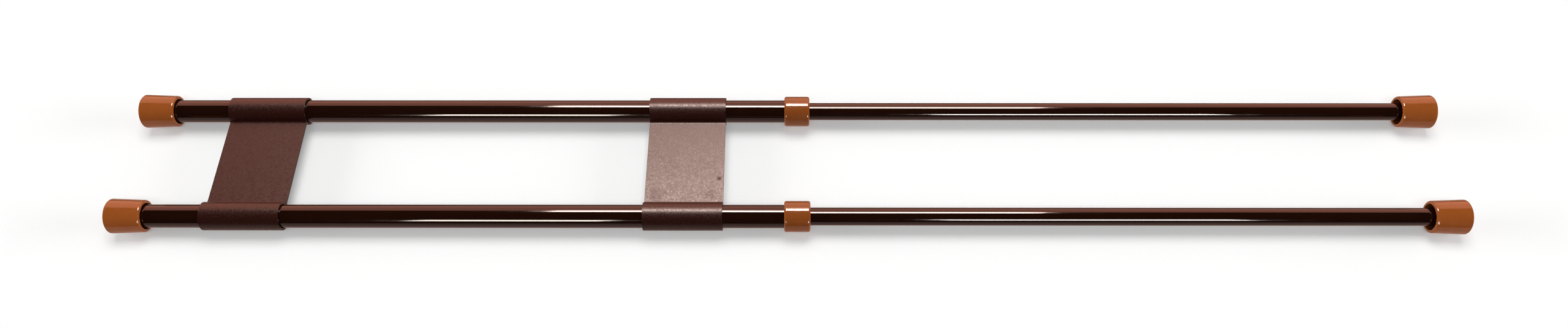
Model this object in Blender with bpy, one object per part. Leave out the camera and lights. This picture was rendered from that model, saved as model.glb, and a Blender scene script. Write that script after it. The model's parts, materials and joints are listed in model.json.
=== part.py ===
# Double spring tension rod: two telescoping rods side by side, tied by two sliding bridge plates.
# Metres, +Z up. X runs along the rods, from the outer tubes' end to the inner tubes' end, and Y runs across
# them. The origin is on the resting plane, under the middle of the object.
import math

import bmesh
import bpy
from mathutils import Vector

# Driving dimensions
ROD_LENGTH = 0.750  # over both end caps, with the spring at its stop
ROD_SPACING = 0.070  # between the two rods' centre lines
OUTER_SECTION_LENGTH = 0.388  # from the outer cap's end to the collar's front face
INNER_TUBE_DIAMETER = 0.010
TUBE_WALL = 0.0006
FACE_GAP = 0.0003  # between pieces that sit on each other
SLIDE_CLEARANCE = 0.0002  # around the inner tube, between tube and guide

# End caps: one moulding for both tube sizes
CAP_LENGTH = 0.0200
CAP_FLOOR = 0.0035
CAP_WALL = 0.0018  # at the mouth
CAP_RECESS = 0.0007  # room between the outer tube and the cap's bore
CAP_FLARE = 0.00065  # how much wider in radius the cap is at its end than at its mouth
CAP_END_FILLET = 0.0012
CAP_DOME = 0.0002
CAP_FLAT_RADIUS = 0.0060  # flat middle of the end face
CAP_RIM_FILLET = 0.0012
CAP_BORE_FILLET = 0.0004

# Plugs that hold the caps on the tubes
PLUG_FLANGE = 0.0020
PLUG_STEM = 0.0180
PILOT_LENGTH = 0.0050  # pegs that centre the spring
PILOT_CLEARANCE = 0.0006
CHAMFER = 0.0006

# Collar and guide sleeve at the outer tube's mouth
COLLAR_LENGTH = 0.0145
COLLAR_WALL = 0.00185
COLLAR_FILLET = 0.0012
COLLAR_LIP = 0.0030
LIP_CLEARANCE = 0.0003
GUIDE_WALL = 0.0004
GUIDE_LENGTH = 0.035
GUIDE_FLANGE = 0.0010

# Inner tube's flared tail, its follower and the spring
FLARE_CLEARANCE = 0.00025
FLARE_LENGTH = 0.0045
FLARE_RAMP = 0.0015
FOLLOWER_DISC = 0.0040
FOLLOWER_SPIGOT = 0.0120
SPRING_WIRE = 0.0008
SPRING_CLEARANCE = 0.0010  # between the coils and the outer tube's bore
SPRING_TURNS = 60
SPRING_END_TURNS = 1.25  # closed turns at each end
SPRING_END_PITCH = 0.0012

# Bridge plates: a sleeve on each rod and a flat web between them
BRIDGE_WIDTH = 0.044
BRIDGE_WALL = 0.0010
BRIDGE_CLEARANCE = 0.0004
BRIDGE_WEB = 0.0016
BRIDGE_FILLET = 0.0012
BRIDGE_FROM_CAP = 0.0318  # first bridge, from the outer cap's mouth
BRIDGE_FROM_COLLAR = 0.0340  # second bridge, from the collar's back face

# Facets
SHOWN_STEPS = 32
HIDDEN_STEPS = 24
SPRING_STEPS = 6
ARC_STEPS = 3

# Radii that follow from the sizes above
inner_radius = INNER_TUBE_DIAMETER / 2
inner_bore = inner_radius - TUBE_WALL
guide_bore = inner_radius + SLIDE_CLEARANCE
guide_radius = guide_bore + GUIDE_WALL
outer_bore = guide_radius + FACE_GAP
outer_radius = outer_bore + TUBE_WALL
cap_bore = outer_radius + CAP_RECESS
cap_mouth_radius = cap_bore + CAP_WALL
cap_end_radius = cap_mouth_radius + CAP_FLARE
spring_radius = outer_bore - SPRING_CLEARANCE - SPRING_WIRE / 2
pilot_radius = spring_radius - SPRING_WIRE / 2 - PILOT_CLEARANCE
sleeve_bore = outer_radius + BRIDGE_CLEARANCE
sleeve_radius = sleeve_bore + BRIDGE_WALL

# Stations along a rod, measured from the outer cap's end
tube_start = CAP_FLOOR + FACE_GAP + PLUG_FLANGE + FACE_GAP
collar_back = OUTER_SECTION_LENGTH - COLLAR_LENGTH
lip_back = OUTER_SECTION_LENGTH - COLLAR_LIP
guide_front = lip_back - FACE_GAP
tube_mouth = guide_front - GUIDE_FLANGE - FACE_GAP
guide_back = tube_mouth - GUIDE_LENGTH
tail_front = guide_back - FACE_GAP
tail_end = tail_front - FLARE_LENGTH
follower_front = tail_end - FACE_GAP
follower_back = follower_front - FOLLOWER_DISC
stem_end = CAP_FLOOR + FACE_GAP + PLUG_FLANGE + PLUG_STEM
spring_start = stem_end + FACE_GAP
spring_end = follower_back - FACE_GAP

outer_end_x = -ROD_LENGTH / 2
inner_end_x = ROD_LENGTH / 2
axis_height = cap_end_radius


def arc(x, r, radius, start, end):
    """Points of a round corner about (x, r), its angles in degrees from +x towards +r."""
    angles = [math.radians(start + (end - start) * k / ARC_STEPS) for k in range(ARC_STEPS + 1)]
    return [(x + radius * math.cos(a), r + radius * math.sin(a)) for a in angles]


def finish_mesh(name, bm, smooth):
    """Welds the mesh, turns its faces outwards and shades it."""
    bmesh.ops.remove_doubles(bm, verts=bm.verts, dist=1e-7)
    bmesh.ops.recalc_face_normals(bm, faces=bm.faces)
    mesh = bpy.data.meshes.new(name)
    bm.to_mesh(mesh)
    bm.free()
    if smooth:
        mesh.shade_smooth()
        mesh.set_sharp_from_angle(angle=math.radians(35))
    return mesh


def turned(name, outline, steps, closed):
    """Mesh of an outline of (x, r) points turned about the X axis. A closed outline stays clear of the axis."""
    bm = bmesh.new()
    points = [bm.verts.new((x, 0, r)) for x, r in outline]
    pairs = list(zip(points, points[1:]))
    if closed:
        pairs.append((points[-1], points[0]))
    edges = [bm.edges.new(pair) for pair in pairs]
    bmesh.ops.spin(
        bm, geom=points + edges, cent=(0, 0, 0), axis=(1, 0, 0), angle=2 * math.pi, steps=steps, use_merge=True
    )
    return finish_mesh(name, bm, True)


def tube_outline(start, end, radius, bore):
    return [(start, radius), (end, radius), (end, bore), (start, bore)]


def cap_mesh():
    end_corner = cap_end_radius - CAP_END_FILLET
    outline = [(0, 0), (0, CAP_FLAT_RADIUS)]
    outline += arc(CAP_DOME + CAP_END_FILLET, end_corner, CAP_END_FILLET, 180, 90)
    outline += arc(CAP_LENGTH - CAP_RIM_FILLET, cap_mouth_radius - CAP_RIM_FILLET, CAP_RIM_FILLET, 90, 0)
    outline += arc(CAP_LENGTH - CAP_BORE_FILLET, cap_bore + CAP_BORE_FILLET, CAP_BORE_FILLET, 0, -90)
    outline += [(CAP_FLOOR, cap_bore), (CAP_FLOOR, 0)]
    return turned("end_cap", outline, SHOWN_STEPS, False)


def plug_mesh(name, tube_bore, with_pilot):
    stem_radius = tube_bore - FACE_GAP
    flange_radius = cap_bore - FACE_GAP
    outline = [(0, 0), (0, flange_radius), (PLUG_FLANGE, flange_radius), (PLUG_FLANGE, stem_radius)]
    tip = PLUG_FLANGE + PLUG_STEM
    outline += [(tip - CHAMFER, stem_radius), (tip, stem_radius - CHAMFER)]
    if with_pilot:
        outline += [(tip, pilot_radius), (tip + PILOT_LENGTH, pilot_radius), (tip + PILOT_LENGTH, 0)]
    else:
        outline += [(tip, 0)]
    return turned(name, outline, HIDDEN_STEPS, False)


def collar_mesh():
    radius = outer_radius + FACE_GAP + COLLAR_WALL
    socket = outer_radius + FACE_GAP
    lip_bore = inner_radius + LIP_CLEARANCE
    outline = arc(COLLAR_FILLET, radius - COLLAR_FILLET, COLLAR_FILLET, 180, 90)
    outline += arc(COLLAR_LENGTH - COLLAR_FILLET, radius - COLLAR_FILLET, COLLAR_FILLET, 90, 0)
    outline += [(COLLAR_LENGTH, lip_bore), (COLLAR_LENGTH - COLLAR_LIP, lip_bore)]
    outline += [(COLLAR_LENGTH - COLLAR_LIP, socket), (0, socket)]
    return turned("collar", outline, SHOWN_STEPS, True)


def guide_mesh():
    back = -FACE_GAP - GUIDE_LENGTH
    outline = [(back, guide_radius), (0, guide_radius), (0, outer_radius), (GUIDE_FLANGE, outer_radius)]
    outline += [(GUIDE_FLANGE, guide_bore), (back, guide_bore)]
    return turned("guide", outline, HIDDEN_STEPS, True)


def inner_tube_mesh():
    flare = outer_bore - FLARE_CLEARANCE
    end = ROD_LENGTH - tube_start - tail_end
    shoulder = FLARE_LENGTH - FLARE_RAMP
    outline = [(0, flare), (shoulder, flare), (FLARE_LENGTH, inner_radius), (end, inner_radius)]
    outline += [(end, inner_bore), (FLARE_LENGTH, inner_bore), (shoulder, flare - TUBE_WALL)]
    outline += [(0, flare - TUBE_WALL)]
    return turned("inner_tube", outline, SHOWN_STEPS, True)


def follower_mesh():
    disc = outer_bore - FLARE_CLEARANCE
    spigot = inner_bore - SLIDE_CLEARANCE
    tip = FOLLOWER_DISC + FACE_GAP + FOLLOWER_SPIGOT
    outline = [(-PILOT_LENGTH, 0), (-PILOT_LENGTH, pilot_radius), (0, pilot_radius), (0, disc)]
    outline += [(FOLLOWER_DISC, disc), (FOLLOWER_DISC, spigot), (tip - CHAMFER, spigot)]
    outline += [(tip, spigot - CHAMFER), (tip, 0)]
    return turned("follower", outline, HIDDEN_STEPS, False)


def spring_mesh():
    """Compression spring along X with closed ends, a three-sided section carried round the helix."""
    wire = SPRING_WIRE / 2
    section = [2 * math.pi * k / 3 for k in range(3)]
    length = spring_end - spring_start
    free_turns = SPRING_TURNS - 2 * SPRING_END_TURNS
    free_pitch = (length - SPRING_WIRE - 2 * SPRING_END_TURNS * SPRING_END_PITCH) / free_turns
    bm = bmesh.new()
    rings = []
    for step in range(SPRING_TURNS * SPRING_STEPS + 1):
        turns = step / SPRING_STEPS
        closed_turns = min(turns, SPRING_END_TURNS) + max(turns - SPRING_TURNS + SPRING_END_TURNS, 0)
        x = wire + closed_turns * SPRING_END_PITCH + (turns - closed_turns) * free_pitch
        angle = 2 * math.pi * turns
        outward = Vector((0, math.cos(angle), math.sin(angle)))
        centre = Vector((x, 0, 0)) + spring_radius * outward
        along = Vector((1, 0, 0))
        corners = [wire * (math.cos(a) * outward + math.sin(a) * along) for a in section]
        rings.append([bm.verts.new(centre + corner) for corner in corners])
    for ring, following in zip(rings, rings[1:]):
        for k in range(3):
            bm.faces.new((ring[k], ring[k - 1], following[k - 1], following[k]))
    bm.faces.new(rings[0])
    bm.faces.new(rings[-1])
    return finish_mesh("spring", bm, False)


def bridge_mesh():
    """Two sleeves and a web: one outline with two round holes, drawn out along X."""
    half_web = BRIDGE_WEB / 2
    fillet_y = math.sqrt((sleeve_radius + BRIDGE_FILLET) ** 2 - (half_web + BRIDGE_FILLET) ** 2)
    meet = math.degrees(math.atan2(half_web + BRIDGE_FILLET, fillet_y))
    half = []  # the front sleeve, from the web's underside round to its top
    for k in range(SHOWN_STEPS + 1):
        angle = math.radians(-meet - (360 - 2 * meet) * k / SHOWN_STEPS)
        half.append((sleeve_radius * math.cos(angle), sleeve_radius * math.sin(angle)))
    half += arc(fillet_y, half_web + BRIDGE_FILLET, BRIDGE_FILLET, 180 + meet, 270)[1:]
    half = arc(fillet_y, -half_web - BRIDGE_FILLET, BRIDGE_FILLET, 90, 180 - meet)[:-1] + half
    outline = [(y - ROD_SPACING / 2, z) for y, z in half]
    outline += [(ROD_SPACING / 2 - y, -z) for y, z in half]
    loops = [outline]
    for centre in (-ROD_SPACING / 2, ROD_SPACING / 2):
        turn = 2 * math.pi / SHOWN_STEPS
        circle = [(sleeve_bore * math.cos(k * turn), sleeve_bore * math.sin(k * turn)) for k in range(SHOWN_STEPS)]
        loops.append([(centre + y, z) for y, z in circle])
    bm = bmesh.new()
    edges = []
    for loop in loops:
        points = [bm.verts.new((0, y, z)) for y, z in loop]
        edges += [bm.edges.new(pair) for pair in zip(points, points[1:] + points[:1])]
    face = bmesh.ops.triangle_fill(bm, use_beauty=True, edges=edges)
    faces = [f for f in face["geom"] if isinstance(f, bmesh.types.BMFace)]
    drawn = bmesh.ops.extrude_face_region(bm, geom=faces)
    moved = [v for v in drawn["geom"] if isinstance(v, bmesh.types.BMVert)]
    bmesh.ops.translate(bm, verts=moved, vec=(BRIDGE_WIDTH, 0, 0))
    return finish_mesh("bridge", bm, True)


def material(name, colour, roughness, metallic):
    made = bpy.data.materials.new(name)
    made.use_nodes = True
    shader = made.node_tree.nodes["Principled BSDF"]
    shader.inputs["Base Color"].default_value = (*colour, 1)
    shader.inputs["Roughness"].default_value = roughness
    shader.inputs["Metallic"].default_value = metallic
    made.diffuse_color = (*colour, 1)
    return made


def add_empty(name, location):
    empty = bpy.data.objects.new(name, None)
    empty.location = location
    bpy.context.collection.objects.link(empty)
    return empty


def add_piece(name, mesh, parent, offset, look, turned_round=False):
    piece = bpy.data.objects.new(name, mesh.copy())
    piece.parent = parent
    piece.location = (offset, 0, 0)
    if turned_round:
        piece.rotation_euler = (0, 0, math.pi)
    piece.data.materials.clear()
    colour, roughness, metallic = look
    piece.data.materials.append(material(name, colour, roughness, metallic))
    bpy.context.collection.objects.link(piece)
    return piece


ENAMEL = ((0.018, 0.006, 0.004), 0.12, 0.0)
TAN = ((0.300, 0.075, 0.018), 0.28, 0.0)
BROWN = ((0.110, 0.045, 0.032), 0.45, 0.0)
BLACK = ((0.020, 0.020, 0.020), 0.50, 0.0)
NATURAL = ((0.550, 0.540, 0.500), 0.40, 0.0)
STEEL = ((0.450, 0.450, 0.460), 0.30, 1.0)

for old in list(bpy.data.objects):
    bpy.data.objects.remove(old, do_unlink=True)

cap = cap_mesh()
outer_plug = plug_mesh("outer_plug", outer_bore, True)
inner_plug = plug_mesh("inner_plug", inner_bore, False)
collar = collar_mesh()
guide = guide_mesh()
outer_tube = turned(
    "outer_tube", tube_outline(0, tube_mouth - tube_start, outer_radius, outer_bore), SHOWN_STEPS, True
)
inner_tube = inner_tube_mesh()
follower = follower_mesh()
spring = spring_mesh()
bridge = bridge_mesh()

for side, y in (("front", -ROD_SPACING / 2), ("rear", ROD_SPACING / 2)):
    outer = add_empty(f"{side}_outer_rod", (outer_end_x, y, axis_height))
    add_piece(f"{side}_outer_cap", cap, outer, 0, TAN)
    add_piece(f"{side}_outer_plug", outer_plug, outer, CAP_FLOOR + FACE_GAP, BLACK)
    add_piece(f"{side}_outer_tube", outer_tube, outer, tube_start, ENAMEL)
    add_piece(f"{side}_collar", collar, outer, collar_back, TAN)
    add_piece(f"{side}_guide_sleeve", guide, outer, tube_mouth + FACE_GAP, NATURAL)
    add_piece(f"{side}_spring", spring, outer, spring_start, STEEL)
    inner = add_empty(f"{side}_inner_rod", (outer_end_x + tail_end, y, axis_height))
    to_end = ROD_LENGTH - tail_end
    add_piece(f"{side}_spring_follower", follower, inner, follower_back - tail_end, BLACK)
    add_piece(f"{side}_inner_tube", inner_tube, inner, 0, ENAMEL)
    add_piece(f"{side}_inner_plug", inner_plug, inner, to_end - CAP_FLOOR - FACE_GAP, BLACK, True)
    add_piece(f"{side}_inner_cap", cap, inner, to_end, TAN, True)

bridge_starts = (
    ("outer_bridge", outer_end_x + CAP_LENGTH + BRIDGE_FROM_CAP),
    ("inner_bridge", outer_end_x + collar_back - BRIDGE_FROM_COLLAR - BRIDGE_WIDTH),
)
for name, x in bridge_starts:
    add_piece(name, bridge, add_empty(f"{name}_slide", (x, 0, axis_height)), 0, BROWN)
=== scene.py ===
import json
import math

import bmesh
import bpy
from mathutils import Matrix, Vector

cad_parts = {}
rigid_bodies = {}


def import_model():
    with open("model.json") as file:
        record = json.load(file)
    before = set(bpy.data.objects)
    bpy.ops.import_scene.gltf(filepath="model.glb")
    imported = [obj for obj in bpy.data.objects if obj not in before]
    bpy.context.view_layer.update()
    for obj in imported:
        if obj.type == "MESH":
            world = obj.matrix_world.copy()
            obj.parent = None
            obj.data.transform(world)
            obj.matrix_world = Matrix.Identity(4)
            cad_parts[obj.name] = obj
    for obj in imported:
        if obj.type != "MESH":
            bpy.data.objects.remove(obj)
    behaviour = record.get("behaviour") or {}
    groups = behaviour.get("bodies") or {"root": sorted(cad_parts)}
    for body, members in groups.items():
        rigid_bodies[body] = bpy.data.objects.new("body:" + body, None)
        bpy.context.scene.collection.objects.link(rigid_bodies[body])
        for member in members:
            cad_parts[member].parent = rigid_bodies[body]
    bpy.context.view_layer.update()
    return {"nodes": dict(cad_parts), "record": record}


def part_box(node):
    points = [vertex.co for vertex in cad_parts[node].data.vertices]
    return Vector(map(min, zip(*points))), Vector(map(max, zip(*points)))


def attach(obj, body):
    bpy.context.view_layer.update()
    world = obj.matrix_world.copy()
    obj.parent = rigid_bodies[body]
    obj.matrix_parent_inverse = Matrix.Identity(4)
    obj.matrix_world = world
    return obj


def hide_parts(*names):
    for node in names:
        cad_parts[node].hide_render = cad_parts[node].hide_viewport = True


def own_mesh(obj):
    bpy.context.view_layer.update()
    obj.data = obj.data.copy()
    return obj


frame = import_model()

sides = ("front", "rear")
collection = bpy.context.scene.collection
print("frame loaded:", len(frame["nodes"]), "nodes")


# Where the frame puts each rod
def lowX(node):
    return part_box(node)[0].x


def highX(node):
    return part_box(node)[1].x


def axisOf(side):
    low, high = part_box(f"{side}_outer_tube")
    return Vector((0, (low.y + high.y) / 2, (low.z + high.z) / 2))


def radiusOf(node):
    low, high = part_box(node)
    return (high.z - low.z) / 2


# Camera
camera = {
    "place": (0.0008, -0.3615, 0.5958),
    "tilt": 31.6,  # degrees up from straight down
    "turn": 0.39,
    "roll": -0.30,
    "lens": 27.8,
    "sensor": 36,
}
cameraData = bpy.data.cameras.new("camera")
cameraData.lens = camera["lens"]
cameraData.sensor_width = camera["sensor"]
cameraData.clip_start = 0.01
cameraObject = bpy.data.objects.new("camera", cameraData)
cameraObject.matrix_world = (
    Matrix.Translation(camera["place"])
    @ Matrix.Rotation(math.radians(camera["turn"]), 4, "Z")
    @ Matrix.Rotation(math.radians(camera["tilt"]), 4, "X")
    @ Matrix.Rotation(math.radians(camera["roll"]), 4, "Z")
)
collection.objects.link(cameraObject)
bpy.context.scene.camera = cameraObject
bpy.context.scene.view_settings.view_transform = "Standard"
print("camera placed")


# Nodes and colours
def addNode(tree, kind, settings=None, links=None):
    node = tree.nodes.new(kind)
    for name, value in (settings or {}).items():
        if isinstance(name, int) or name in node.inputs:
            node.inputs[name].default_value = value
        else:
            setattr(node, name, value)
    for name, source in (links or {}).items():
        tree.links.new(source, node.inputs[name])
    return node


def hexColour(code):
    channels = [int(code[k : k + 2], 16) / 255 for k in (1, 3, 5)]
    linear = [c / 12.92 if c <= 0.04045 else ((c + 0.055) / 1.055) ** 2.4 for c in channels]
    return (*linear, 1)


# An empty material, its tree, and the object coordinates that every pattern is laid out in.
def startMaterial(name):
    material = bpy.data.materials.new(name)
    material.use_nodes = True
    tree = material.node_tree
    tree.nodes.clear()
    place = addNode(tree, "ShaderNodeTexCoord").outputs["Object"]
    return material, tree, place


def scaleOf(millimetres):
    return 1000 / millimetres  # lumps per metre


noiseLow, noiseHigh = 0.3, 0.7  # a noise with detail seldom leaves these


# Gloss enamel baked on steel tube: a deep, nearly black brown that mirrors the lights sharply, with
# the faint waviness of sprayed paint and a few specks of dust.
enamel = {
    "dark": "#150603",
    "light": "#190804",
    "roughness": (0.05, 0.085),
    "tone": 9,  # mm between patches of tone
    "peel": 2.5,  # mm between the waves of orange peel
    "peelDepth": 0.000004,
    "speckSpacing": 18,
    "speckSize": 0.017,  # share of the spacing: real specks are about 0.2 mm
    "speck": "#8f7d70",
    "speckCover": 0.8,
    "ior": 1.5,
}


def makeEnamel():
    material, tree, place = startMaterial("gloss baked enamel")
    tone = addNode(
        tree, "ShaderNodeTexNoise", {"Scale": scaleOf(enamel["tone"]), "Detail": 3}, {"Vector": place}
    )
    colour = addNode(
        tree,
        "ShaderNodeMix",
        {"data_type": "RGBA", 6: hexColour(enamel["dark"]), 7: hexColour(enamel["light"])},
        {"Factor": tone.outputs["Fac"]},
    )
    specks = addNode(
        tree, "ShaderNodeTexVoronoi", {"Scale": scaleOf(enamel["speckSpacing"])}, {"Vector": place}
    )
    cover = enamel["speckCover"]
    dust = addNode(
        tree,
        "ShaderNodeMapRange",
        {"From Min": enamel["speckSize"], "From Max": enamel["speckSize"] * 0.5, "To Max": cover},
        {"Value": specks.outputs["Distance"]},
    )
    dusty = addNode(
        tree,
        "ShaderNodeMix",
        {"data_type": "RGBA", 7: hexColour(enamel["speck"])},
        {"Factor": dust.outputs["Result"], 6: colour.outputs[2]},
    )
    gloss = addNode(
        tree,
        "ShaderNodeMapRange",
        {
            "From Min": noiseLow,
            "From Max": noiseHigh,
            "To Min": enamel["roughness"][0],
            "To Max": enamel["roughness"][1],
        },
        {"Value": tone.outputs["Fac"]},
    )
    peel = addNode(
        tree, "ShaderNodeTexNoise", {"Scale": scaleOf(enamel["peel"]), "Detail": 1}, {"Vector": place}
    )
    relief = addNode(
        tree, "ShaderNodeBump", {"Distance": enamel["peelDepth"]}, {"Height": peel.outputs["Fac"]}
    )
    shader = addNode(
        tree,
        "ShaderNodeBsdfPrincipled",
        {"IOR": enamel["ior"]},
        {
            "Base Color": dusty.outputs[2],
            "Roughness": gloss.outputs["Result"],
            "Normal": relief.outputs["Normal"],
        },
    )
    addNode(tree, "ShaderNodeOutputMaterial", None, {"Surface": shader.outputs["BSDF"]})
    return material


# Soft PVC, dip moulded: tan, glossy enough to show the horizon of the floor, with faint clouds of
# pigment and a slightly uneven skin.
capPlastic = {
    "dark": "#804218",
    "light": "#8c4a1e",
    "roughness": (0.09, 0.15),
    "clouds": 5,  # mm
    "skin": 3,  # mm between lumps of the skin
    "skinDepth": 0.000012,
    "ior": 1.53,
}


def makeCapPlastic():
    material, tree, place = startMaterial("moulded PVC")
    clouds = addNode(
        tree,
        "ShaderNodeTexNoise",
        {"Scale": scaleOf(capPlastic["clouds"]), "Detail": 5, "Roughness": 0.6},
        {"Vector": place},
    )
    colour = addNode(
        tree,
        "ShaderNodeMix",
        {"data_type": "RGBA", 6: hexColour(capPlastic["dark"]), 7: hexColour(capPlastic["light"])},
        {"Factor": clouds.outputs["Fac"]},
    )
    gloss = addNode(
        tree,
        "ShaderNodeMapRange",
        {
            "From Min": noiseLow,
            "From Max": noiseHigh,
            "To Min": capPlastic["roughness"][0],
            "To Max": capPlastic["roughness"][1],
        },
        {"Value": clouds.outputs["Fac"]},
    )
    skin = addNode(
        tree, "ShaderNodeTexNoise", {"Scale": scaleOf(capPlastic["skin"]), "Detail": 2}, {"Vector": place}
    )
    relief = addNode(
        tree, "ShaderNodeBump", {"Distance": capPlastic["skinDepth"]}, {"Height": skin.outputs["Fac"]}
    )
    shader = addNode(
        tree,
        "ShaderNodeBsdfPrincipled",
        {"IOR": capPlastic["ior"]},
        {
            "Base Color": colour.outputs[2],
            "Roughness": gloss.outputs["Result"],
            "Normal": relief.outputs["Normal"],
        },
    )
    addNode(tree, "ShaderNodeOutputMaterial", None, {"Surface": shader.outputs["BSDF"]})
    return material


# Bridge plates: a wall round each rod, a web between them, a fillet where they meet and broken edges.
bridge = {
    "wall": 0.0010,
    "web": 0.0016,
    "fillet": 0.0012,
    "filletSteps": 6,
    "edge": 0.0004,
    "edgeSteps": 3,
    "edgeAngle": 50,  # edges sharper than this are broken
    "rootSteps": 8,  # quads across the web's root
    "ringSteps": 72,  # quads round the rest of the sleeve
}


# Rigid PVC, extruded and cut to length: dark brown with a satin skin whose fine grain and handled
# patches break up the reflections, and a few marks of use on the inner plate.
bridgePlastic = {
    "dark": "#200906",
    "light": "#290e09",
    "roughness": (0.27, 0.45),
    "wornRoughness": 0.7,
    "grain": 0.9,  # mm: the real grain of about 0.2 mm is too fine to show
    "grainDepth": 0.000012,
    "patches": 9,  # mm between more and less worn patches
    "patchiness": 0.12,  # weight of the patches against the grain
    "uneven": (0.41, 0.71),  # what grain and patches add up to where least and most rough
    "marks": (
        # share of the way right and back on the plate, radius, darkness
        (0.94, 0.30, 0.0016, 0.8),
        (0.15, 0.10, 0.0050, 0.18),
        (0.83, 0.10, 0.0045, 0.18),
    ),
    "markCore": 0.4,  # share of a mark's radius that is fully worn
    "ior": 1.43,
}


def makeBridgePlastic():
    material, tree, place = startMaterial("extruded PVC")
    grain = addNode(
        tree,
        "ShaderNodeTexNoise",
        {"Scale": scaleOf(bridgePlastic["grain"]), "Detail": 2, "Roughness": 0.6},
        {"Vector": place},
    )
    patches = addNode(
        tree,
        "ShaderNodeTexNoise",
        {"Scale": scaleOf(bridgePlastic["patches"]), "Detail": 3},
        {"Vector": place},
    )
    colour = addNode(
        tree,
        "ShaderNodeMix",
        {"data_type": "RGBA", 6: hexColour(bridgePlastic["dark"]), 7: hexColour(bridgePlastic["light"])},
        {"Factor": grain.outputs["Fac"]},
    )
    low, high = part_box("inner_bridge")
    sleeve = high.z - low.z
    core = bridgePlastic["markCore"]
    worn = None
    for right, back, radius, darkness in bridgePlastic["marks"]:
        spot = (
            low.x + (high.x - low.x) * right,
            low.y + sleeve + (high.y - low.y - 2 * sleeve) * back,
            (low.z + high.z + bridge["web"]) / 2,
        )
        away = addNode(tree, "ShaderNodeVectorMath", {"operation": "DISTANCE", 1: spot}, {0: place})
        mark = addNode(
            tree,
            "ShaderNodeMapRange",
            {"From Min": radius * core, "From Max": radius, "To Min": darkness, "To Max": 0.0},
            {"Value": away.outputs["Value"]},
        )
        if worn is None:
            worn = mark.outputs["Result"]
        else:
            worn = addNode(
                tree, "ShaderNodeMath", {"operation": "MAXIMUM"}, {0: worn, 1: mark.outputs["Result"]}
            ).outputs["Value"]
    unevenness = addNode(
        tree,
        "ShaderNodeMath",
        {"operation": "MULTIPLY_ADD", 1: bridgePlastic["patchiness"]},
        {0: patches.outputs["Fac"], 2: grain.outputs["Fac"]},
    )
    gloss = addNode(
        tree,
        "ShaderNodeMapRange",
        {
            "From Min": bridgePlastic["uneven"][0],
            "From Max": bridgePlastic["uneven"][1],
            "To Min": bridgePlastic["roughness"][0],
            "To Max": bridgePlastic["roughness"][1],
        },
        {"Value": unevenness.outputs["Value"]},
    )
    rubbed = addNode(
        tree,
        "ShaderNodeMix",
        {"data_type": "FLOAT", 3: bridgePlastic["wornRoughness"]},
        {"Factor": worn, 2: gloss.outputs["Result"]},
    )
    relief = addNode(
        tree, "ShaderNodeBump", {"Distance": bridgePlastic["grainDepth"]}, {"Height": grain.outputs["Fac"]}
    )
    shader = addNode(
        tree,
        "ShaderNodeBsdfPrincipled",
        {"IOR": bridgePlastic["ior"]},
        {
            "Base Color": colour.outputs[2],
            "Roughness": rubbed.outputs[0],
            "Normal": relief.outputs["Normal"],
        },
    )
    addNode(tree, "ShaderNodeOutputMaterial", None, {"Surface": shader.outputs["BSDF"]})
    return material


# Black polypropylene, moulded: satin, with a slight cloudiness.
blackPlastic = {"dark": "#151412", "light": "#211f1c", "clouds": 2, "roughness": (0.36, 0.54), "ior": 1.49}


def makeBlackPlastic():
    material, tree, place = startMaterial("moulded polypropylene")
    clouds = addNode(
        tree, "ShaderNodeTexNoise", {"Scale": scaleOf(blackPlastic["clouds"]), "Detail": 3}, {"Vector": place}
    )
    colour = addNode(
        tree,
        "ShaderNodeMix",
        {"data_type": "RGBA", 6: hexColour(blackPlastic["dark"]), 7: hexColour(blackPlastic["light"])},
        {"Factor": clouds.outputs["Fac"]},
    )
    smooth, rough = blackPlastic["roughness"]
    gloss = addNode(
        tree, "ShaderNodeMapRange", {"To Min": smooth, "To Max": rough}, {"Value": clouds.outputs["Fac"]}
    )
    shader = addNode(
        tree,
        "ShaderNodeBsdfPrincipled",
        {"IOR": blackPlastic["ior"]},
        {"Base Color": colour.outputs[2], "Roughness": gloss.outputs["Result"]},
    )
    addNode(tree, "ShaderNodeOutputMaterial", None, {"Surface": shader.outputs["BSDF"]})
    return material


# Natural acetal, moulded: milky white, waxy and slightly translucent.
guidePlastic = {
    "dark": "#d6d0c0",
    "light": "#e6e2d6",
    "clouds": 3,  # mm
    "roughness": (0.28, 0.4),
    "ior": 1.48,
    "translucency": 0.1,
    "lightReach": 0.001,
}


def makeGuidePlastic():
    material, tree, place = startMaterial("natural acetal")
    clouds = addNode(
        tree, "ShaderNodeTexNoise", {"Scale": scaleOf(guidePlastic["clouds"]), "Detail": 3}, {"Vector": place}
    )
    colour = addNode(
        tree,
        "ShaderNodeMix",
        {"data_type": "RGBA", 6: hexColour(guidePlastic["dark"]), 7: hexColour(guidePlastic["light"])},
        {"Factor": clouds.outputs["Fac"]},
    )
    smooth, rough = guidePlastic["roughness"]
    gloss = addNode(
        tree, "ShaderNodeMapRange", {"To Min": smooth, "To Max": rough}, {"Value": clouds.outputs["Fac"]}
    )
    shader = addNode(
        tree,
        "ShaderNodeBsdfPrincipled",
        {
            "IOR": guidePlastic["ior"],
            "Subsurface Weight": guidePlastic["translucency"],
            "Subsurface Scale": guidePlastic["lightReach"],
        },
        {"Base Color": colour.outputs[2], "Roughness": gloss.outputs["Result"]},
    )
    addNode(tree, "ShaderNodeOutputMaterial", None, {"Surface": shader.outputs["BSDF"]})
    return material


# Drawn music wire: bright grey steel with a slightly streaked surface under a film of oil.
springSteel = {"dark": "#9a9a9e", "light": "#c6c6c8", "streaks": 0.8, "roughness": (0.2, 0.4)}


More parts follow.
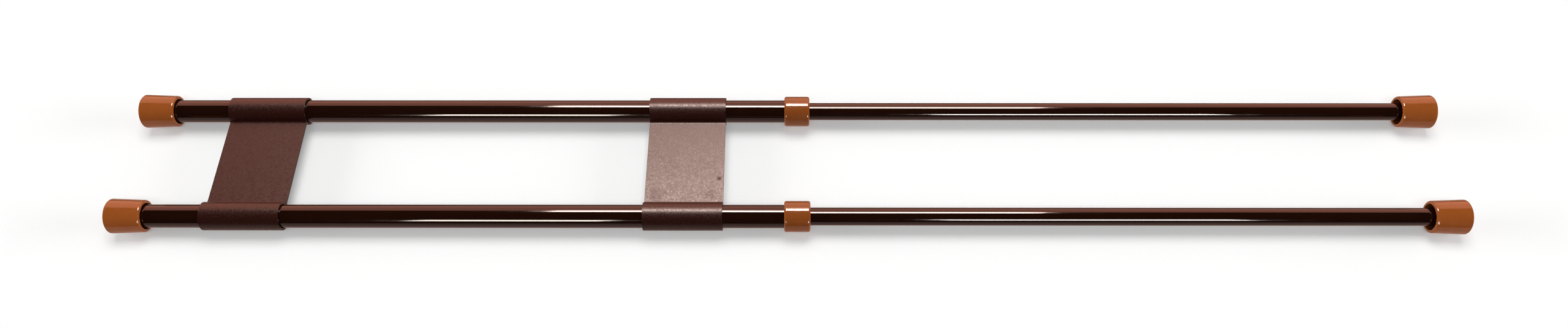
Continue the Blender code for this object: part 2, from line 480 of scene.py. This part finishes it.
def makeSpringSteel():
    material, tree, place = startMaterial("drawn music wire")
    streaks = addNode(
        tree, "ShaderNodeTexNoise", {"Scale": scaleOf(springSteel["streaks"]), "Detail": 4}, {"Vector": place}
    )
    colour = addNode(
        tree,
        "ShaderNodeMix",
        {"data_type": "RGBA", 6: hexColour(springSteel["dark"]), 7: hexColour(springSteel["light"])},
        {"Factor": streaks.outputs["Fac"]},
    )
    smooth, rough = springSteel["roughness"]
    gloss = addNode(
        tree, "ShaderNodeMapRange", {"To Min": smooth, "To Max": rough}, {"Value": streaks.outputs["Fac"]}
    )
    shader = addNode(
        tree,
        "ShaderNodeBsdfPrincipled",
        {"Metallic": 1.0},
        {"Base Color": colour.outputs[2], "Roughness": gloss.outputs["Result"]},
    )
    addNode(tree, "ShaderNodeOutputMaterial", None, {"Surface": shader.outputs["BSDF"]})
    return material


materials = {
    "enamelled_steel": makeEnamel(),
    "cap_plastic": makeCapPlastic(),
    "bridge_plastic": makeBridgePlastic(),
    "black_plastic": makeBlackPlastic(),
    "guide_plastic": makeGuidePlastic(),
    "spring_steel": makeSpringSteel(),
}
print("materials made")


# Mesh building
hold = 0.0003  # how far from a curve the straight begins
weld = 1e-7  # points nearer than this become one


def arc(x, r, radius, start, end, steps=6):
    angles = [math.radians(start + (end - start) * k / steps) for k in range(steps + 1)]
    return [(x + radius * math.cos(a), r + radius * math.sin(a)) for a in angles]


# Adds points close to both ends of each long straight run, so that the run shades as straight.
def holdStraight(outline, closed):
    held = []
    following = outline[1:] + outline[:1]
    for k, ((x, r), (nextX, nextR)) in enumerate(zip(outline, following)):
        held.append((x, r))
        run = math.hypot(nextX - x, nextR - r)
        if run > 4 * hold and (closed or k < len(outline) - 1):
            for share in (hold / run, 1 - hold / run):
                held.append((x + (nextX - x) * share, r + (nextR - r) * share))
    return held


# Turns an outline of (x, r) points about a rod's axis. flip mirrors it in x about that value.
def turnOutline(name, outline, axis, closed=False, steps=96, flip=None):
    outline = holdStraight(outline, closed)
    if flip is not None:
        outline = [(flip - x, r) for x, r in outline]
    bm = bmesh.new()
    points = [bm.verts.new((x, axis.y, axis.z + r)) for x, r in outline]
    pairs = list(zip(points, points[1:]))
    if closed:
        pairs.append((points[-1], points[0]))
    edges = [bm.edges.new(pair) for pair in pairs]
    bmesh.ops.spin(
        bm,
        geom=points + edges,
        cent=(0, axis.y, axis.z),
        axis=(1, 0, 0),
        angle=2 * math.pi,
        steps=steps,
        use_merge=True,
    )
    return finishMesh(name, bm)


# sharpAngle is where an edge stops shading as smooth, in degrees.
def finishMesh(name, bm, sharpAngle=30):
    bmesh.ops.remove_doubles(bm, verts=bm.verts, dist=weld)
    bmesh.ops.recalc_face_normals(bm, faces=bm.faces)
    mesh = bpy.data.meshes.new(name)
    bm.to_mesh(mesh)
    bm.free()
    mesh.shade_smooth()
    mesh.set_sharp_from_angle(angle=math.radians(sharpAngle))
    piece = bpy.data.objects.new(name, mesh)
    collection.objects.link(piece)
    return piece


# Gives the piece its node's material and body, and hides the node.
def dress(piece, node, body):
    slotName = next(p["material_slot"] for p in frame["record"]["subparts"] if p["node"] == node)
    piece.data.materials.append(materials[slotName])
    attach(piece, body)
    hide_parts(node)
    return piece


# End caps
cap = {
    "floor": 0.0035,
    "boreRadius": 0.0072,
    "mouthRadius": 0.0090,
    "endFillet": 0.0012,
    "endSteps": 8,
    "dome": 0.0002,
    "rimFillet": 0.0012,
    "rimStart": 88,  # degrees from straight out, so that the rim meets the tapered side
    "rimSteps": 10,
    "boreFillet": 0.0004,
    "boreSteps": 5,
    "grooves": (0.0025, 0.0045, 0.0065),  # rings on the end face that grip the wall
    "grooveWidth": 0.0006,
    "grooveDepth": 0.00025,
}


def capOutline(start, length, endRadius):
    corner = endRadius - cap["endFillet"]
    half = cap["grooveWidth"] / 2
    outline = [(start, 0)]
    for radius in cap["grooves"]:
        face = start + cap["dome"] * (radius / corner) ** 4
        outline += [(face, radius - half), (face + cap["grooveDepth"], radius - half / 2)]
        outline += [(face + cap["grooveDepth"], radius + half / 2), (face, radius + half)]
    outline += arc(start + cap["dome"] + cap["endFillet"], corner, cap["endFillet"], 180, 90, cap["endSteps"])
    mouth = start + length
    outer = cap["rimFillet"]
    inner = cap["boreFillet"]
    outline += arc(mouth - outer, cap["mouthRadius"] - outer, outer, cap["rimStart"], 0, cap["rimSteps"])
    outline += arc(mouth - inner, cap["boreRadius"] + inner, inner, 0, -90, cap["boreSteps"])
    outline += [(start + cap["floor"], cap["boreRadius"]), (start + cap["floor"], 0)]
    return outline


for side in sides:
    axis = axisOf(side)
    for end, body in (("outer", "outer_rods"), ("inner", f"{side}_inner_rod")):
        node = f"{side}_{end}_cap"
        length = highX(node) - lowX(node)
        outline = capOutline(lowX(node), length, radiusOf(node))
        flip = None if end == "outer" else lowX(node) + highX(node)
        dress(turnOutline(f"{side}_{end}_end_cup", outline, axis, flip=flip), node, body)
print("end caps made")


# Tubes
tube = {
    "wall": 0.0006,
    "innerRadius": 0.0050,
    "edge": 0.00015,
    "edgeSteps": 3,
    "flareRamp": 0.0015,
    "flareLength": 0.0045,
    "rampSteps": 8,
}


def tubeOutline(start, end, radius):
    edge = tube["edge"]
    steps = tube["edgeSteps"]
    bore = radius - tube["wall"]
    outline = arc(start + edge, radius - edge, edge, 180, 90, steps)
    outline += arc(end - edge, radius - edge, edge, 90, 0, steps)
    outline += arc(end - edge, bore + edge, edge, 0, -90, steps)
    outline += arc(start + edge, bore + edge, edge, -90, -180, steps)
    return outline


# The thin tube, whose tail widens in a smooth ramp to the flare that the guide sleeve stops.
def innerTubeOutline(start, end, flareRadius):
    ramp = []
    for k in range(tube["rampSteps"] + 1):
        share = k / tube["rampSteps"]
        ease = share * share * (3 - 2 * share)
        x = start + tube["flareLength"] - tube["flareRamp"] * (1 - share)
        ramp.append((x, flareRadius + (tube["innerRadius"] - flareRadius) * ease))
    edge = tube["edge"]
    steps = tube["edgeSteps"]
    outline = arc(start + edge, flareRadius - edge, edge, 180, 90, steps) + ramp
    outline += arc(end - edge, tube["innerRadius"] - edge, edge, 90, 0, steps)
    outline += arc(end - edge, tube["innerRadius"] - tube["wall"] + edge, edge, 0, -90, steps)
    outline += [(x, r - tube["wall"]) for x, r in reversed(ramp)]
    outline += arc(start + edge, flareRadius - tube["wall"] + edge, edge, -90, -180, steps)
    return outline


for side in sides:
    axis = axisOf(side)
    node = f"{side}_outer_tube"
    outline = tubeOutline(lowX(node), highX(node), radiusOf(node))
    dress(turnOutline(f"{side}_thick_tube", outline, axis, closed=True), node, "outer_rods")
    node = f"{side}_inner_tube"
    outline = innerTubeOutline(lowX(node), highX(node), radiusOf(node))
    dress(turnOutline(f"{side}_thin_tube", outline, axis, closed=True), node, f"{side}_inner_rod")
print("tubes made")


# Collars
collar = {
    "fillet": 0.0012,
    "filletSteps": 8,
    "edge": 0.0003,
    "edgeSteps": 4,
    "lip": 0.0030,
    "lipGap": 0.0003,
    "socketGap": 0.0003,
}


def collarOutline(start, end, radius, tubeRadius):
    fillet, filletSteps = collar["fillet"], collar["filletSteps"]
    edge, edgeSteps = collar["edge"], collar["edgeSteps"]
    lipBore = tube["innerRadius"] + collar["lipGap"]
    socket = tubeRadius + collar["socketGap"]
    outline = arc(start + fillet, radius - fillet, fillet, 180, 90, filletSteps)
    outline += arc(end - fillet, radius - fillet, fillet, 90, 0, filletSteps)
    outline += arc(end - edge, lipBore + edge, edge, 0, -90, edgeSteps)
    outline += [(end - collar["lip"], lipBore), (end - collar["lip"], socket)]
    outline += arc(start + edge, socket + edge, edge, -90, -180, edgeSteps)
    return outline


for side in sides:
    node = f"{side}_collar"
    outline = collarOutline(lowX(node), highX(node), radiusOf(node), radiusOf(f"{side}_outer_tube"))
    dress(turnOutline(f"{side}_collar_ring", outline, axisOf(side), closed=True), node, "outer_rods")
print("collars made")


# A bridge plate: two sleeves joined by a web, drawn out along X from one cross-section of quads.
def bridgePiece(name, node):
    low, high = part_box(node)
    radius = (high.z - low.z) / 2
    bore = radius - bridge["wall"]
    height = (low.z + high.z) / 2
    fillet = bridge["fillet"]
    halfWeb = bridge["web"] / 2
    reach = math.sqrt((radius + fillet) ** 2 - (halfWeb + fillet) ** 2)
    meet = math.atan2(halfWeb + fillet, reach)
    bm = bmesh.new()

    # Ring of quads round one rod. Returns the outer points that the web joins, from under to over.
    def addRing(centre, facing):
        ring = []
        joined = bridge["rootSteps"]
        for k in range(joined + bridge["ringSteps"]):
            if k < joined:
                angle = -meet + 2 * meet * k / joined
            else:
                angle = meet + (2 * math.pi - 2 * meet) * (k - joined) / bridge["ringSteps"]
            across, up = facing * math.cos(angle), math.sin(angle)
            outer = bm.verts.new((low.x, centre + radius * across, height + radius * up))
            inner = bm.verts.new((low.x, centre + bore * across, height + bore * up))
            ring.append((outer, inner))
        for (a, b), (c, d) in zip(ring, ring[1:] + ring[:1]):
            bm.faces.new((a, c, d, b))
        return [outer for outer, inner in ring[: joined + 1]]

    # Fillet points from the sleeve out to the flat of the web, without the one on the sleeve.
    def addEdgePoints(centre, facing, top):
        sign = 1 if top else -1
        points = []
        for k in range(1, bridge["filletSteps"] + 1):
            angle = math.pi + meet + (math.pi / 2 - meet) * k / bridge["filletSteps"]
            y = centre + facing * (reach + fillet * math.cos(angle))
            z = height + sign * (halfWeb + fillet + fillet * math.sin(angle))
            points.append(bm.verts.new((low.x, y, z)))
        flat = centre + facing * (reach + hold)
        points.append(bm.verts.new((low.x, flat, height + sign * halfWeb)))
        return points

    front = low.y + radius
    rear = high.y - radius
    frontRoot = addRing(front, 1)
    rearRoot = addRing(rear, -1)
    under = addEdgePoints(front, 1, False) + list(reversed(addEdgePoints(rear, -1, False)))
    over = addEdgePoints(front, 1, True) + list(reversed(addEdgePoints(rear, -1, True)))
    for k in range(len(under) - 1):
        bm.faces.new((under[k], under[k + 1], over[k + 1], over[k]))
    bm.faces.new([*frontRoot, over[0], under[0]])
    bm.faces.new([*rearRoot, over[-1], under[-1]])
    faces = list(bm.faces)
    end = bridge["edge"] + hold
    for k, length in enumerate((end, high.x - low.x - 2 * end, end)):
        drawn = bmesh.ops.extrude_face_region(bm, geom=faces, use_keep_orig=k == 0)
        faces = [part for part in drawn["geom"] if isinstance(part, bmesh.types.BMFace)]
        moved = [part for part in drawn["geom"] if isinstance(part, bmesh.types.BMVert)]
        bmesh.ops.translate(bm, verts=moved, vec=(length, 0, 0))
    piece = finishMesh(name, bm)
    bevel = piece.modifiers.new("broken edges", "BEVEL")
    bevel.width = bridge["edge"]
    bevel.segments = bridge["edgeSteps"]
    bevel.limit_method = "ANGLE"
    bevel.angle_limit = math.radians(bridge["edgeAngle"])
    return dress(piece, node, node)


bridgePiece("outer_bridge_plate", "outer_bridge")
bridgePiece("inner_bridge_plate", "inner_bridge")
print("bridge plates made")


# Springs
spring = {
    "wire": 0.0008,
    "turns": 60,
    "closedTurns": 1.25,  # at each end
    "closedPitch": 0.00095,
    "steps": 20,  # in a turn
    "sections": 8,  # round the wire
}


# Compression spring: round wire on a helix with a closed turn at each end.
def springPiece(side):
    node = f"{side}_spring"
    low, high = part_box(node)
    axis = axisOf(side)
    wire = spring["wire"] / 2
    radius = (high.y - low.y) / 2 - wire
    freeTurns = spring["turns"] - 2 * spring["closedTurns"]
    closedLength = 2 * spring["closedTurns"] * spring["closedPitch"]
    freePitch = (high.x - low.x - 2 * wire - closedLength) / freeTurns
    along = Vector((1, 0, 0))
    bm = bmesh.new()
    rings = []
    for step in range(spring["turns"] * spring["steps"] + 1):
        turns = step / spring["steps"]
        closed = min(turns, spring["closedTurns"]) + max(turns - spring["turns"] + spring["closedTurns"], 0)
        x = low.x + wire + closed * spring["closedPitch"] + (turns - closed) * freePitch
        angle = 2 * math.pi * turns
        outward = Vector((0, math.cos(angle), math.sin(angle)))
        centre = Vector((x, axis.y, axis.z)) + radius * outward
        ring = []
        for k in range(spring["sections"]):
            turn = 2 * math.pi * k / spring["sections"]
            offset = math.cos(turn) * outward + math.sin(turn) * along
            ring.append(bm.verts.new(centre + wire * offset))
        rings.append(ring)
    for ring, following in zip(rings, rings[1:]):
        for k in range(spring["sections"]):
            bm.faces.new((ring[k], ring[k - 1], following[k - 1], following[k]))
    bm.faces.new(rings[0])
    bm.faces.new(rings[-1])
    piece = dress(finishMesh(f"{side}_coil_spring", bm, sharpAngle=50), node, "outer_rods")
    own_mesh(piece)


for side in sides:
    springPiece(side)
print("springs made")


# The hidden mouldings keep their solids and take a finish
for side in sides:
    for name in ("outer_plug", "inner_plug", "guide_sleeve", "spring_follower"):
        node = frame["nodes"][f"{side}_{name}"]
        look = materials["guide_plastic" if name == "guide_sleeve" else "black_plastic"]
        node.data.materials.clear()
        node.data.materials.append(look)
print("hidden mouldings dressed")


# Studio floor: matt white paper, which glows a little so that the shadows on it stay pale
sweep = {
    "size": 6,  # metres from the middle to each side
    "paper": "#cdcdcd",
    "roughness": 0.9,
    "sheen": 0.0,
    "glow": "#ffffff",
    "glowStrength": 0.20,
}
floorMaterial, floorTree = startMaterial("paper sweep")[:2]
paper = addNode(
    floorTree,
    "ShaderNodeBsdfPrincipled",
    {
        "Base Color": hexColour(sweep["paper"]),
        "Roughness": sweep["roughness"],
        "Specular IOR Level": sweep["sheen"],
        "Emission Color": hexColour(sweep["glow"]),
        "Emission Strength": sweep["glowStrength"],
    },
)
addNode(floorTree, "ShaderNodeOutputMaterial", None, {"Surface": paper.outputs["BSDF"]})
floorMesh = bpy.data.meshes.new("floor")
corners = [(x, y, 0) for x, y in ((-1, -1), (1, -1), (1, 1), (-1, 1))]
floorMesh.from_pydata([Vector(corner) * sweep["size"] for corner in corners], [], [(0, 1, 2, 3)])
floorMesh.materials.append(floorMaterial)
floor = bpy.data.objects.new("floor", floorMesh)
floor.visible_glossy = False  # the gloss takes its paler underside from tableGlow instead
collection.objects.link(floor)


# Softboxes that shape the gloss, and lights that shape the shade. Each stands at that distance from the
# object, at that rise in degrees over the horizon behind it (over 90 is on the near side) and that far
# to the right. Radiance is what its face shows, and flag names the pieces that it is kept off.
lights = {
    "topSoftbox": {
        "distance": 1.2, "rise": 69.5, "right": 0.014, "width": 0.76, "height": 0.33,
        "radiance": 36, "colour": "#ffe6db", "shades": False,
    },
    "topSkirt": {
        "distance": 1.22, "rise": 56, "right": 0.014, "width": 0.76, "height": 0.22,
        "radiance": 1.5, "colour": "#ffe8dc", "shades": False,
    },
    "warmWall": {
        "distance": 2.0, "rise": 30, "right": 0, "width": 6.0, "height": 2.5,
        "radiance": 2.5, "colour": "#ffa890", "shades": False,
    },
    "leftStrip": {
        "distance": 1.4, "rise": 162, "right": -0.46, "width": 0.32, "height": 0.33,
        "radiance": 24, "colour": "#fff6e8", "shades": False, "flag": "bridge",
    },
    "rightStrip": {
        "distance": 1.4, "rise": 162, "right": 0.50, "width": 0.50, "height": 0.33,
        "radiance": 24, "colour": "#fffaf4", "shades": False, "flag": "bridge",
    },
    "keyLight": {
        "distance": 2.4, "rise": 72, "right": 0, "width": 1.5, "height": 1.24,
        "radiance": 6.8, "colour": "#ffffff", "glosses": False,
    },
    "leftSide": {
        "distance": 0.75, "rise": 90, "right": -2.9, "width": 1.6, "height": 0.8,
        "radiance": 14, "colour": "#ffffff", "glosses": False,
    },
    "rightSide": {
        "distance": 0.75, "rise": 90, "right": 2.9, "width": 1.6, "height": 0.8,
        "radiance": 14, "colour": "#ffffff", "glosses": False,
    },
    "frontFill": {
        "distance": 2.4, "rise": 123, "right": 0, "width": 1.5, "height": 0.35,
        "radiance": 9.3, "colour": "#ffffff", "glosses": False, "flag": "collar",
    },
    "tableGlow": {
        "distance": 0.5, "rise": 270, "right": 0, "width": 4.0, "height": 4.0,
        "radiance": 0.6, "colour": "#ffd8cc", "shades": False,
    },
}


# Every piece but those with this word in their names.
def groupWithout(word):
    group = bpy.data.collections.new(f"all but the {word} pieces")
    for piece in list(collection.objects):
        if piece.type == "MESH" and word not in piece.name:
            group.objects.link(piece)
    return group


unflagged = {word: groupWithout(word) for word in ("bridge", "collar")}


# Stands a light up, facing the object.
def addLight(
    name, distance, rise, right, width, height, radiance, colour, shades=True, glosses=True, flag=None
):
    light = bpy.data.lights.new(name, "AREA")
    light.shape = "RECTANGLE"
    light.size = width
    light.size_y = height
    light.energy = radiance * width * height * math.pi
    light.color = hexColour(colour)[:3]
    box = bpy.data.objects.new(name, light)
    angle = math.radians(rise)
    place = Vector((right, distance * math.cos(angle), distance * math.sin(angle)))
    box.matrix_world = Matrix.Translation(place) @ place.to_track_quat("Z", "Y").to_matrix().to_4x4()
    box.visible_camera = False
    box.visible_diffuse = shades
    box.visible_glossy = glosses
    if flag:
        box.light_linking.receiver_collection = unflagged[flag]
    collection.objects.link(box)


for name, settings in lights.items():
    addLight(name, **settings)


# The room: pale to the eye and softly lit, but dark and warm in the gloss between the softboxes
room = {"pale": "#f4f2f0", "ambient": 0.25, "seen": 0.75, "dim": "#ffb48c", "dimStrength": 0.04}
world = bpy.data.worlds.new("studio")
bpy.context.scene.world = world
world.use_nodes = True
worldTree = world.node_tree
worldTree.nodes.clear()
ray = addNode(worldTree, "ShaderNodeLightPath")
paleness = addNode(
    worldTree,
    "ShaderNodeMapRange",
    {"To Min": room["ambient"], "To Max": room["seen"]},
    {"Value": ray.outputs["Is Camera Ray"]},
)
pale = addNode(
    worldTree,
    "ShaderNodeBackground",
    {"Color": hexColour(room["pale"])},
    {"Strength": paleness.outputs["Result"]},
)
dim = addNode(
    worldTree, "ShaderNodeBackground", {"Color": hexColour(room["dim"]), "Strength": room["dimStrength"]}
)
backdrop = addNode(
    worldTree,
    "ShaderNodeMixShader",
    None,
    {0: ray.outputs["Is Glossy Ray"], 1: pale.outputs["Background"], 2: dim.outputs["Background"]},
)
addNode(worldTree, "ShaderNodeOutputWorld", None, {"Surface": backdrop.outputs["Shader"]})
print("studio made")
